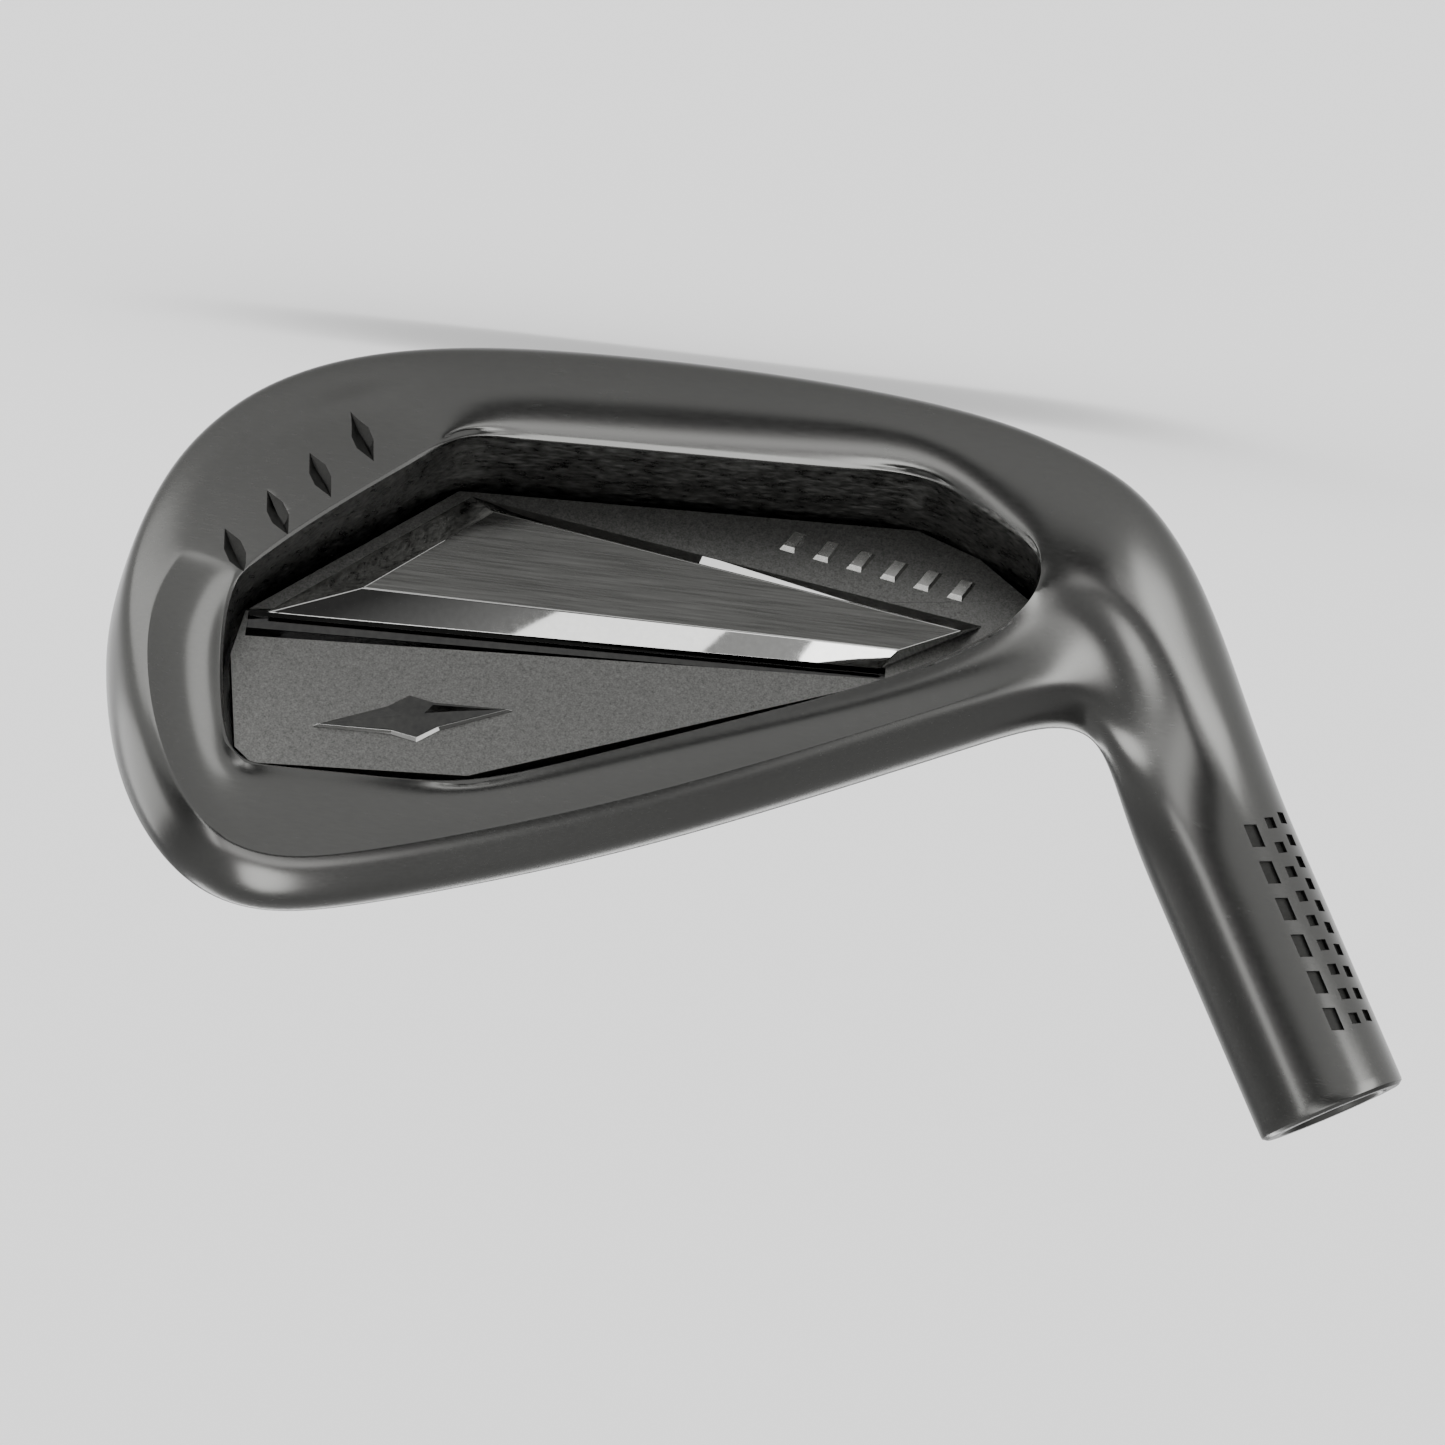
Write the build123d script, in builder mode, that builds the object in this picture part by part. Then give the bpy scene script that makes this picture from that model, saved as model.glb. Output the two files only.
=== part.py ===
from build123d import *
from math import cos, radians, sin, tan
import os

# Head of a right-handed iron golf club, in the address pose, in millimetres.
# +X runs from heel to toe, +Y towards the target, +Z up.
# The origin is the middle of the open end of the hosel, on the shaft axis.

# ---- driving dimensions -------------------------------------------------
lie_angle = 60.0           # shaft axis above the ground
loft_angle = 30.0          # face leaning back from the vertical
mouth_height = 57.8        # hosel mouth above the ground
hosel_radius = 6.75
mouth_chamfer = 0.4
bore_radius = 4.775        # takes a 9.4 mm parallel shaft tip and its glue line
bore_length = 31.0

lead_y = 3.6               # leading edge, in front of the shaft axis
lead_height = 3.0          # leading edge above the ground
trail_y = -16.3            # trailing edge of the sole
toe_x = 111.4              # furthest point of the toe
blade_start = 34.0         # the blade section ends and the neck begins here
top_thickness = 6.0        # back of the top line behind the face
field_depth = 14.5         # back of the frame behind the face, above the sole
field_foot = 15.0          # distance up the face where the frame is deepest
top_bevel = 2.0            # band around the back of the top line and toe
front_round = 1.6          # leading edge and front of the top line
trail_round = 1.6
foot_round = 4.0           # where the field meets the trailing side of the sole
blade_overrun = 5.0        # how far the blank runs past the finished outline
top_line_start = (28.0, 29.6)   # X and distance up the face of the heel end of the top line
top_line_slope = 0.472

neck_x = 30.0              # the neck sections fan about a line through this X
neck_top = 34.0            # height at which the hosel is fully round
neck_low, neck_high = 3.7, 28.1   # lowest and highest point of the blade where the neck begins
neck_overlap = 3.0         # how far the neck runs up into the hosel

face_wall = 2.6            # metal between the pocket floor and the face
film_thickness = 0.2       # adhesive film
film_inset = 1.5
pad_thickness = 1.5        # damping pad
pad_inset = 1.0
plate_thickness = 2.5      # badge plate
badge_gap = 0.25           # clearance between badge and pocket wall
wedge_height = 1.8         # brushed wedge above the badge plate
emblem_height = 0.6
bar_height = 0.35

groove_width = 0.8
groove_depth = 0.4
groove_pitch = 3.6
groove_count = 13
groove_first = 5.5         # lowest groove, up the face
groove_heel, groove_toe = 37.0, 90.0
groove_top_margin = 3.0    # grooves stop this far short of the top line

# ---- planes -------------------------------------------------------------
ground = -mouth_height
lie_cos, lie_sin = cos(radians(lie_angle)), sin(radians(lie_angle))
loft_cos, loft_sin = cos(radians(loft_angle)), sin(radians(loft_angle))
axis_foot = mouth_height / tan(radians(lie_angle))     # shaft axis meets the ground here

# Local x is X, local y runs up the face, and local z goes back from the face.
lead_point = (0, lead_y, ground + lead_height)
face = Plane(origin=lead_point, x_dir=(1, 0, 0), z_dir=(0, -loft_cos, -loft_sin))
# Local z runs down the hosel from its mouth, and local y points back.
hosel = Plane(origin=(0, 0, 0), x_dir=(lie_sin, 0, lie_cos), z_dir=(lie_cos, 0, -lie_sin))
# Local z runs up the shaft axis, and local y points to the front.
hosel_up = Plane(origin=(0, 0, 0), x_dir=(lie_sin, 0, lie_cos), z_dir=(-lie_cos, 0, lie_sin))


def face_to_section(up, depth):
    """Height above the ground and Y of a point given up and behind the face."""
    height = lead_height + up * loft_cos - depth * loft_sin
    return height, lead_y - up * loft_sin - depth * loft_cos


def section_to_face(height, y):
    """Distance up and behind the face of a point given by height and Y."""
    rise, back = height - lead_height, lead_y - y
    return rise * loft_cos + back * loft_sin, back * loft_cos - rise * loft_sin


def top_line(x):
    """Straight chord of the top line, as a distance up the face."""
    return top_line_start[1] + top_line_slope * (x - top_line_start[0])


def top_line_x(up):
    """X at which the top line's chord stands this far up the face."""
    return top_line_start[0] + (up - top_line_start[1]) / top_line_slope


# ---- blade: top line, toe and sole --------------------------------------
def blade_section(x, overrun):
    """Corners of the blade section in the plane at x, run out past the finished edges."""
    top = top_line(x)
    slope = (field_depth - top_thickness) / (top - field_foot)
    return [
        (-overrun, 0.0),
        (top + overrun, 0.0),
        (top + overrun, top_thickness - overrun * slope),
        (field_foot, field_depth),
        section_to_face(-overrun, trail_y),
    ]


# Top line and toe, drawn on the face and run straight back.
with BuildPart() as top_form:
    with BuildSketch(face.offset(-1)):
        with BuildLine():
            top_edge = Spline(
                (blade_start - 8, 28.0), (54.3, 42.9), (83.0, 56.1), (95.0, 59.5),
                (104.4, 54.8), (109.4, 45.0), (toe_x, 33.0),
                tangents=[(1.0, 0.55), (0.0, -1.0)],
            )
            Polyline(top_edge @ 1, (toe_x, -20), (blade_start - 8, -20), top_edge @ 0)
        make_face()
    extrude(amount=30)

# Sole and lower toe, drawn upright and cambered from front to back.
sole_camber = [(8.0, 1.9), (-6.0, 0.0), (-20.0, 1.6), (-34.0, 4.0)]
with BuildPart() as sole_form:
    for y, lift in sole_camber:
        with BuildSketch(Plane(origin=(0, y, ground + lift), x_dir=(1, 0, 0), z_dir=(0, -1, 0))):
            with BuildLine():
                sole_edge = Spline(
                    (blade_start - 8, 5.2), (37.7, 1.5), (65.0, 0.0), (86.0, 0.9),
                    (99.0, 5.0), (107.4, 13.0), (toe_x, 26.0),
                    tangents=[(1.0, -0.6), (0.0, 1.0)],
                )
                Polyline(sole_edge @ 1, (toe_x, 90), (blade_start - 8, 90), sole_edge @ 0)
            make_face()
    loft()


# ---- neck: sections that turn from the blade into the round hosel -------
def corner_loop(corners, rounds):
    """Cubic pieces around a polygon with rounded corners, side after side."""
    pieces = []
    count = len(corners)
    points = [Vector(*corner) for corner in corners]
    for i in range(count):
        here, after, later = (points[(i + k) % count] for k in range(3))
        start = here + (after - here).normalized() * rounds[i]
        end = after - (after - here).normalized() * rounds[(i + 1) % count]
        leave = after + (later - after).normalized() * rounds[(i + 1) % count]
        pieces.append([start, start + (end - start) / 3, start + (end - start) * 2 / 3, end])
        pieces.append([end, end + (after - end) * 0.6, leave + (after - leave) * 0.6, leave])
    return pieces


def circle_loop(radius, centre, angles):
    """Cubic pieces around a circle, broken at the given angles in degrees."""
    pieces = []
    for first, last in zip(angles, angles[1:]):
        handle = 4 / 3 * tan(radians(last - first) / 4) * radius
        ends = []
        for angle in (first, last):
            turn = radians(angle)
            spot = Vector(centre + radius * cos(turn), radius * sin(turn))
            ends.append((spot, Vector(-sin(turn), cos(turn)) * handle))
        (a, run_a), (b, run_b) = ends
        pieces.append([a, a + run_a, b - run_b, b])
    return pieces


def blade_end(x, bottom):
    """Section of the finished blade at x, as height above the ground and Y."""
    top = top_line(x)
    slope = (field_depth - top_thickness) / (top - field_foot)
    corners = [
        (bottom + 0.9, lead_y - (bottom + 0.9 - lead_height) * loft_sin / loft_cos),
        face_to_section(top, 0),
        face_to_section(top, top_thickness),
        face_to_section(field_foot, field_depth),
        (bottom + 1.1, trail_y),
    ]
    return corner_loop(corners, [front_round, front_round, top_bevel, foot_round * 0.5, trail_round])


# Angles that split the hosel circle into as many pieces as the blade section has.
circle_breaks = [150, 60, 25, -5, -45, -105, -120, -145, -165, -190, -210]
axis_to_pivot_x = neck_x - (axis_foot - neck_top / tan(radians(lie_angle)))
pivot_height = neck_top + axis_to_pivot_x * lie_cos / lie_sin
pivot_to_axis = axis_to_pivot_x / lie_sin

# Turn of the section, its inner and outer reach from the pivot, and how round it is.
neck_sections = [
    (0.0, 15.3, 39.7, 0.0),
    (20.0, 14.9, 32.3, 0.35),
    (40.0, 13.0, 27.2, 0.80),
    (60.0, pivot_to_axis - hosel_radius, pivot_to_axis + hosel_radius, 1.0),
]


def neck_loop(inner, outer, roundness):
    """Section part-way between the blade end and the hosel circle."""
    circle = circle_loop(hosel_radius, 0.0, circle_breaks)
    pieces = []
    for blade_piece, round_piece in zip(blade_end(neck_x, neck_low), circle):
        points = []
        for p, q in zip(blade_piece, round_piece):
            along_blade = (p.X - neck_low) / (neck_high - neck_low)
            along_round = (q.X + hosel_radius) / (2 * hosel_radius)
            along = along_blade * (1 - roundness) + along_round * roundness
            points.append((-outer + along * (outer - inner), p.Y * (1 - roundness) + q.Y * roundness))
        pieces.append(points)
    return pieces


def section_wire(plane, pieces):
    """Closed wire of cubic pieces drawn on a plane."""
    edges = []
    for piece in pieces:
        points = [plane.from_local_coords(Vector(*point)) for point in piece]
        edges.append(Edge.make_bezier(*points))
    return Wire(edges)


def turned_plane(turn):
    """Section plane of the neck, turned about the pivot line."""
    turn_cos, turn_sin = cos(radians(turn)), sin(radians(turn))
    return Plane(origin=(neck_x, 0, ground + pivot_height),
                 x_dir=(turn_sin, 0, turn_cos), z_dir=(-turn_cos, 0, turn_sin))


blade_plane = Plane(origin=(blade_start, 0, ground), x_dir=(0, 0, 1), z_dir=(-1, 0, 0))
hosel_foot = hosel_up.offset(neck_overlap - (mouth_height - neck_top) / lie_sin)
neck_wires = [section_wire(blade_plane, blade_end(blade_start, 2.1))]
for turn, inner, outer, roundness in neck_sections:
    neck_wires.append(section_wire(turned_plane(turn), neck_loop(inner, outer, roundness)))
round_loop = circle_loop(hosel_radius, 0.0, circle_breaks)
neck_wires.append(section_wire(hosel_foot, round_loop))
neck_form = Solid.make_loft(neck_wires)
hosel_wires = [section_wire(hosel_foot, round_loop), section_wire(hosel_up, round_loop)]
hosel_form = Solid.make_loft(hosel_wires, True)

# ---- pocket and forged body ---------------------------------------------
# Corners of the pocket on the face plane, from the toe end of the sole side round the heel.
pocket_corners = [
    (83.1, 15.8), (42.4, 14.0), (36.5, 16.4), (31.4, 20.6), (32.4, 24.2), (42.6, 31.6),
    (78.6, 47.6), (97.6, 49.0), (99.6, 47.2), (101.2, 37.0), (100.4, 31.9),
]
pocket_corner_round = 1.2
# Points on the blank's edges, as X, Y and height above the ground.
probe_x = 70.0
lead_point_low = (probe_x, lead_y + 1, 1.2)
trail_point_low = (probe_x, trail_y, 1.0)
trail_point_high = (probe_x, trail_y, 8.7)
low_toe_point = (109.4, -19.5, 16.8)


def near(part, x, y, height):
    """Edge of a part nearest to a point given by X, Y and height above the ground."""
    return part.edges().sort_by_distance((x, y, ground + height))[0]


with BuildPart() as forged_body:
    for x in (blade_start, toe_x + 2):
        section = Plane(origin=(x, *lead_point[1:]), x_dir=(0, -loft_sin, loft_cos), z_dir=(1, 0, 0))
        with BuildSketch(section):
            with BuildLine():
                Polyline(*blade_section(x, blade_overrun), close=True)
            make_face()
    loft(ruled=True)
    add(top_form.part, mode=Mode.INTERSECT)
    add(sole_form.part, mode=Mode.INTERSECT)
    top_front, top_back = (
        (probe_x, y, height)
        for height, y in (face_to_section(top_line(probe_x), depth) for depth in (0, top_thickness))
    )
    fillet([near(forged_body, *lead_point_low), near(forged_body, *top_front)], radius=front_round)
    fillet(near(forged_body, *trail_point_high), radius=foot_round)
    chamfer([near(forged_body, *top_back), near(forged_body, *low_toe_point)], length=top_bevel)
    fillet(near(forged_body, *trail_point_low), radius=trail_round)
    add(neck_form)
    add(hosel_form)
    with BuildSketch(face.offset(face_wall)):
        with BuildLine():
            Polyline(*pocket_corners, close=True)
        make_face()
        fillet(vertices(), radius=pocket_corner_round)
    extrude(amount=20, mode=Mode.SUBTRACT)
    with BuildSketch(hosel):
        Circle(hosel_radius + 1)
        Circle(hosel_radius - mouth_chamfer, mode=Mode.SUBTRACT)
    extrude(amount=mouth_chamfer * 1.5, taper=45, mode=Mode.SUBTRACT)
    with BuildSketch(hosel):
        Circle(bore_radius)
    extrude(amount=bore_length, mode=Mode.SUBTRACT)
    # Score lines, parallel to the ground.
    for line in range(groove_count):
        up = groove_first + line * groove_pitch
        heel_end = max(groove_heel, top_line_x(up + groove_top_margin))
        with BuildSketch(Plane(origin=face.origin + face.y_dir * up, x_dir=(1, 0, 0), z_dir=face.z_dir)):
            with Locations(((heel_end + groove_toe) / 2, 0)):
                Rectangle(groove_toe - heel_end, groove_width)
        extrude(amount=groove_depth, mode=Mode.SUBTRACT)

# ---- what fills the pocket, from the face wall outwards -----------------
film_depth = face_wall
pad_depth = film_depth + film_thickness
plate_depth = pad_depth + pad_thickness
badge_depth = plate_depth + plate_thickness


def pocket_layer(depth, thickness, inset):
    """Layer with the outline of the pocket, drawn in from its wall."""
    with BuildPart() as layer:
        with BuildSketch(face.offset(depth)):
            with BuildLine():
                Polyline(*pocket_corners, close=True)
            make_face()
            fillet(vertices(), radius=pocket_corner_round)
            offset(amount=-inset, mode=Mode.REPLACE)
        extrude(amount=thickness)
    return layer.part


with BuildPart() as adhesive_film:
    add(pocket_layer(film_depth, film_thickness, film_inset))

with BuildPart() as damping_pad:
    add(pocket_layer(pad_depth, pad_thickness, pad_inset))

with BuildPart() as badge_plate:
    add(pocket_layer(plate_depth, plate_thickness, badge_gap))

# Brushed wedge: its foot on the plate and its flat top, as quadrilaterals on the face plane.
wedge_foot = [(81.7, 16.4), (36.0, 24.2), (44.6, 30.2), (98.1, 32.2)]
wedge_top = [(80.2, 18.4), (37.4, 25.3), (43.0, 29.2), (90.0, 29.5)]
with BuildPart() as badge_wedge:
    for depth, corners in ((badge_depth, wedge_foot), (badge_depth + wedge_height, wedge_top)):
        with BuildSketch(face.offset(depth)):
            with BuildLine():
                Polyline(*corners, close=True)
            make_face()
    loft(ruled=True)

# Polished emblem: a long lozenge.
emblem_x, emblem_up = 84.1, 41.6
emblem_turn = 14.0
emblem_reach, emblem_width = 9.0, 2.6      # half length and half width
with BuildPart() as badge_emblem:
    with BuildSketch(face.offset(badge_depth)):
        with Locations((emblem_x, emblem_up)):
            with Locations(Location((0, 0, 0), (0, 0, emblem_turn))):
                Polygon((-emblem_reach, 0), (0, -emblem_width), (emblem_reach, 0), (0, emblem_width))
    extrude(amount=emblem_height, taper=30)

# Raised slanted bars in the field nearest the heel.
bar_count = 6
bar_first, bar_last = (38.2, 20.6), (53.2, 17.6)
bar_turn = -11.0
bar_corners = [(-1.05, -1.2), (0.35, -1.2), (1.05, 1.2), (-0.35, 1.2)]
with BuildPart() as badge_bars:
    for bar in range(bar_count):
        share = bar / (bar_count - 1)
        spot = [a + (b - a) * share for a, b in zip(bar_first, bar_last)]
        with BuildSketch(face.offset(badge_depth)):
            with Locations(Location((*spot, 0), (0, 0, bar_turn))):
                Polygon(*bar_corners, align=None)
        extrude(amount=bar_height)

# ---- write the parts ----------------------------------------------------
os.makedirs("parts", exist_ok=True)
forged_body.part.label = "forged_body"
export_step(forged_body.part, "parts/forged_body.step")
adhesive_film.part.label = "adhesive_film"
export_step(adhesive_film.part, "parts/adhesive_film.step")
damping_pad.part.label = "damping_pad"
export_step(damping_pad.part, "parts/damping_pad.step")
badge_plate.part.label = "badge_plate"
export_step(badge_plate.part, "parts/badge_plate.step")
badge_wedge.part.label = "badge_wedge"
export_step(badge_wedge.part, "parts/badge_wedge.step")
badge_emblem.part.label = "badge_emblem"
export_step(badge_emblem.part, "parts/badge_emblem.step")
badge_bars.part.label = "badge_bars"
export_step(badge_bars.part, "parts/badge_bars.step")
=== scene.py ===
from math import cos, pi, radians, sin
import bmesh
import bpy
from mathutils import Matrix, Vector


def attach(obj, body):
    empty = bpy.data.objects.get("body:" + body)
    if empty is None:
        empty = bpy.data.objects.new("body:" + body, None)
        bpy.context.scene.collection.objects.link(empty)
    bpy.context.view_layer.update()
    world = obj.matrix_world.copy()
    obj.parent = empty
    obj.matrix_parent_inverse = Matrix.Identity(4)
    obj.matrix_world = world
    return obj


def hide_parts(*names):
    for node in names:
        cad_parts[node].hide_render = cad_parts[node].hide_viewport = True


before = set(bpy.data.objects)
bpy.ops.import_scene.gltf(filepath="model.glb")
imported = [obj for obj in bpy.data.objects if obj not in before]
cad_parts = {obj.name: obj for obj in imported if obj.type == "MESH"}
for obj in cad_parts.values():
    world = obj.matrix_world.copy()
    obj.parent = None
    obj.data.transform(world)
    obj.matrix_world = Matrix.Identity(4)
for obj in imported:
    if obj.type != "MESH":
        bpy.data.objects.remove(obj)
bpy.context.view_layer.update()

# Head of an iron golf club. Shapes are worked out in millimetres in the part's own frame,
# and written to the meshes in metres: +X heel to toe, +Y to the target, +Z up,
# with the origin in the middle of the open end of the hosel.
MM = 0.001
LIE, LOFT = radians(60), radians(30)
MOUTH_HEIGHT = 57.8                     # middle of the hosel's mouth above the ground
LEAD_Y, LEAD_HEIGHT = 3.6, 3.0          # where heights up the face are counted from
HOSEL_RADIUS = 6.75
BORE_RADIUS, BORE_LENGTH = 4.775, 31.0
NECK_TOP = 34.0                         # height above the ground where the round hosel starts
UP_AXIS = Vector((-cos(LIE), 0, sin(LIE)))
ACROSS = Vector((sin(LIE), 0, cos(LIE)))
FRONT = Vector((0, 1, 0))


# ---- placing points -----------------------------------------------------
def on_face(x, up, depth=0.0):
    """Point at x, this far up the face and this far behind it."""
    y = LEAD_Y - up * sin(LOFT) - depth * cos(LOFT)
    height = LEAD_HEIGHT + up * cos(LOFT) - depth * sin(LOFT)
    return Vector((x, y, height - MOUTH_HEIGHT))


def upright(x, y, height):
    """Point at x and y, this high above the ground."""
    return Vector((x, y, height - MOUTH_HEIGHT))


def on_hosel(down, angle, radius):
    """Point on a circle about the shaft axis; angle 0 is the toe side, 90 the front."""
    turn = radians(angle)
    return UP_AXIS * -down + (ACROSS * cos(turn) + FRONT * sin(turn)) * radius


def hermite(a, run_a, b, run_b, t):
    """Smooth run from a to b, leaving along run_a and arriving along run_b."""
    return (a * (2 * t**3 - 3 * t**2 + 1) + run_a * (t**3 - 2 * t**2 + t)
            + b * (3 * t**2 - 2 * t**3) + run_b * (t**3 - t**2))


# ---- forged body: cage columns ------------------------------------------
# A column of the cage runs from the inside of the face, round the edge of the head,
# to the rim of the pocket. Columns follow the edge from the hosel's toe side along the
# top line, round the toe, along the sole, and up the heel to the hosel's heel side.
CREASE_ROW, RIM_ROW, LIP_ROW, FLOOR_ROW = 7, 10, 11, 12
POCKET_FLOOR = 2.6                      # depth behind the face
LIP_BEVEL = 0.32
FACE_INSETS = 6.0, 1.6                  # how far inside the outline the two rows on the face run
# Share of the way from the crease to the rim, and share of the field's dip there.
FIELD_SAGS = (0.28, 0.75), (0.70, 1.0)
# Each row over the back edge: move inwards, and depth as a share of the crease's depth. Above 0
# the move is a share of the inset of the crease, below 0 it is millimetres outwards.
ROLLED_EDGE = (0.0, 0.0), (-0.30, 0.17), (-0.35, 0.42), (0.18, 0.68), (0.55, 0.88)
SQUARE_EDGE = (0.0, 0.0), (-0.30, 0.17), (-0.45, 0.50), (0.04, 0.80), (0.20, 0.96)
TOE_SHARES = 0.0, 0.16, 0.5, 0.84, 1.0  # rows between the face and the trailing corner
TOE_BULGE = 0.6
SOLE_FACE_RISES = 6.5, 2.3              # the two rows on the face above the leading edge
SOLE_FACE_LEAN = 0.4                    # share by which the upper one leans towards the rim
LEAD_DROP, LEAD_FOLLOW = 0.3, 0.9       # the leading edge against the height of the sole
# Y and height above the sole line, from the leading edge to the trailing corner.
SOLE_CAMBER = (1.4, 0.55), (-6.5, -0.15), (-14.6, 0.45), (-16.7, 0.95), (-17.2, 2.6)
# Share of the way from the trailing corner to the rim, and how far the surface swells back there.
SOLE_BACK = (0.38, 0.45), (0.75, 0.35), (0.94, 0.0)


def inset(point, target, distance):
    """Point in the face plane moved this far towards a target."""
    step = Vector((target[0] - point[0], target[1] - point[1])).normalized() * distance
    return point[0] + step.x, point[1] + step.y


def face_rows(edge, centre):
    """Rows on the flat of the face, inside its outline."""
    return [on_face(*inset(edge, centre, distance)) for distance in FACE_INSETS]


def field_rows(crease, rim, dip):
    """Rows from the crease over the hollow field to the rim, its bevel and the pocket floor."""
    rows = [on_face(*crease)]
    for share, sag in FIELD_SAGS:
        point = [c + (r - c) * share for c, r in zip(crease, rim)]
        rows.append(on_face(point[0], point[1], point[2] - dip * sag))
    outer = inset(rim, crease, LIP_BEVEL)
    rows.append(on_face(*outer, rim[2]))
    rows.append(on_face(rim[0], rim[1], rim[2] - LIP_BEVEL))
    rows.append(on_face(rim[0], rim[1], POCKET_FLOOR))
    return rows


def top_column(edge, back_inset, crease_depth, rim, dip=0.6, square=0.0):
    """Column across the top line or the toe, from its outline point on the face.

    square runs from 0, a rolled-over back edge, to 1, a wall that stands up to its back corner.
    """
    centre = rim[:2]
    crease = (*inset(edge, centre, back_inset), crease_depth)
    rows = face_rows(edge, centre)
    for (share, depth), (square_share, square_depth) in zip(ROLLED_EDGE, SQUARE_EDGE):
        share += (square_share - share) * square
        depth += (square_depth - depth) * square
        moved = share * back_inset if share > 0 else share
        rows.append(on_face(*inset(edge, centre, moved), depth * crease_depth))
    return rows + field_rows(crease, rim, dip)


def toe_column(edge, trail, crease, rim, dip):
    """Column across the lower toe, between the face outline and the trailing corner."""
    centre = rim[:2]
    rows = face_rows(edge, centre)
    front, back = on_face(*edge), upright(*trail)
    outward = Vector((edge[0] - rim[0], 0, (edge[1] - rim[1]) * cos(LOFT))).normalized()
    for share in TOE_SHARES:
        bulge = TOE_BULGE * 4 * share * (1 - share)
        rows.append(front.lerp(back, share) + outward * bulge)
    return rows + field_rows(crease, rim, dip)


def sole_column(x, height, rim):
    """Column across the sole, from the leading edge to the trailing corner and the rim."""
    upper, lower = SOLE_FACE_RISES
    rows = [on_face(x + (rim[0] - x) * SOLE_FACE_LEAN, upper), on_face(x, lower)]
    rows.append(on_face(x, height * LEAD_FOLLOW - LEAD_DROP))
    rows += [upright(x, y, height + lift) for y, lift in SOLE_CAMBER]
    corner, rim_point = rows[-1], on_face(*rim)
    rows += [corner.lerp(rim_point, share) - FRONT * swell for share, swell in SOLE_BACK]
    rows.append(on_face(rim[0], rim[1], rim[2] - LIP_BEVEL))
    rows.append(on_face(rim[0], rim[1], POCKET_FLOOR))
    return rows


HEEL_RIM = (31.0, 21.6, 11.0)
# Top columns give the outline on the face, the crease's inset and depth, and the rim; toe columns
# give the outline, the trailing corner, the crease and the rim; sole columns x, height and the rim.
blade_columns = [
    top_column((31.0, 30.0), 1.9, 6.0, HEEL_RIM),
    top_column((35.5, 32.5), 1.9, 6.0, (33.6, 25.7, 9.4)),
    top_column((44.0, 37.3), 1.9, 5.9, (43.0, 31.6, 8.0)),
    top_column((55.0, 43.4), 1.9, 5.8, (55.0, 37.1, 7.6)),
    top_column((66.0, 49.0), 1.9, 5.8, (67.0, 42.6, 7.3)),
    top_column((77.0, 53.7), 1.9, 5.8, (78.6, 47.9, 7.2)),
    top_column((87.0, 57.5), 1.9, 5.9, (87.6, 48.6, 7.8)),
    top_column((94.5, 59.6), 1.9, 6.1, (93.5, 49.0, 8.1)),
    top_column((100.6, 58.2), 1.8, 7.0, (97.7, 49.3, 8.4), 0.9),
    top_column((105.6, 53.3), 2.3, 8.0, (99.6, 47.6, 8.7), 1.2),
    top_column((109.3, 46.0), 2.7, 9.2, (100.6, 43.0, 9.6), 1.5, 0.2),
    top_column((110.95, 38.0), 3.0, 10.2, (101.2, 38.0, 10.6), 1.7, 0.5),
    top_column((111.15, 33.6), 3.9, 11.2, (101.1, 34.0, 11.2), 1.2, 0.85),
    toe_column((110.6, 28.0), (110.0, -20.6, 22.0), (105.9, 30.4, 12.0), (100.5, 31.9, 11.7), 0.0),
    toe_column((109.0, 20.6), (107.7, -19.4, 15.0), (104.7, 25.4, 12.8), (97.3, 28.4, 12.4), 0.0),
    toe_column((105.4, 13.0), (103.8, -18.2, 9.8), (102.2, 20.8, 13.5), (94.0, 25.4, 13.1), 0.0),
    toe_column((100.0, 6.9), (99.0, -17.4, 6.1), (98.2, 16.6, 14.1), (90.6, 22.4, 13.6), 0.0),
    toe_column((92.6, 2.6), (92.3, -16.9, 3.3), (92.6, 14.6, 14.4), (87.0, 19.3, 14.0), 0.0),
    sole_column(84.0, 1.1, (83.1, 15.8, 14.3)),
    sole_column(75.0, 0.4, (75.2, 15.4, 14.4)),
    sole_column(64.0, 0.1, (64.0, 15.0, 14.4)),
    sole_column(53.0, 0.3, (53.0, 14.6, 14.4)),
    sole_column(45.0, 0.8, (42.6, 14.1, 14.4)),
    sole_column(39.0, 1.5, (37.0, 16.7, 13.8)),
    sole_column(34.5, 2.4, (32.2, 19.4, 12.4)),
    sole_column(31.0, 3.4, HEEL_RIM),
]
# Columns are counted from the first one above.
RIM_CORNERS = (5, 8, 9, 13, 18, 22, 24)
CREASED = range(1, 17)                  # columns along which the crease is sharp
TOE_FLAT = 13                           # the flat on the lower toe starts at this column
CORNER_SHARPNESS, FIELD_SHARPNESS, FLAT_SHARPNESS, MOUTH_SHARPNESS = 0.75, 0.8, 0.85, 0.8
RIM_SHARPNESS = {RIM_ROW: 0.9, LIP_ROW: 0.9, FLOOR_ROW: 1.0}


# ---- forged body: neck and hosel columns --------------------------------
HOSEL_ROWS = RIM_ROW + 1
ROUND_START = (MOUTH_HEIGHT - NECK_TOP) / sin(LIE)
# Smoothing draws a ring of points in; 3 would undo it exactly, and this stays just inside.
ring_swell = 2.998 / (2 + cos(radians(180 / RIM_ROW)))
NECK_STEPS = 0.8, 0.6, 0.4, 0.2         # share of the way from the blade to the hosel
BORE_CHAMFER, MOUTH_CHAMFER, MOUTH_FALL = 0.4, 0.45, 0.35


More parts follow.
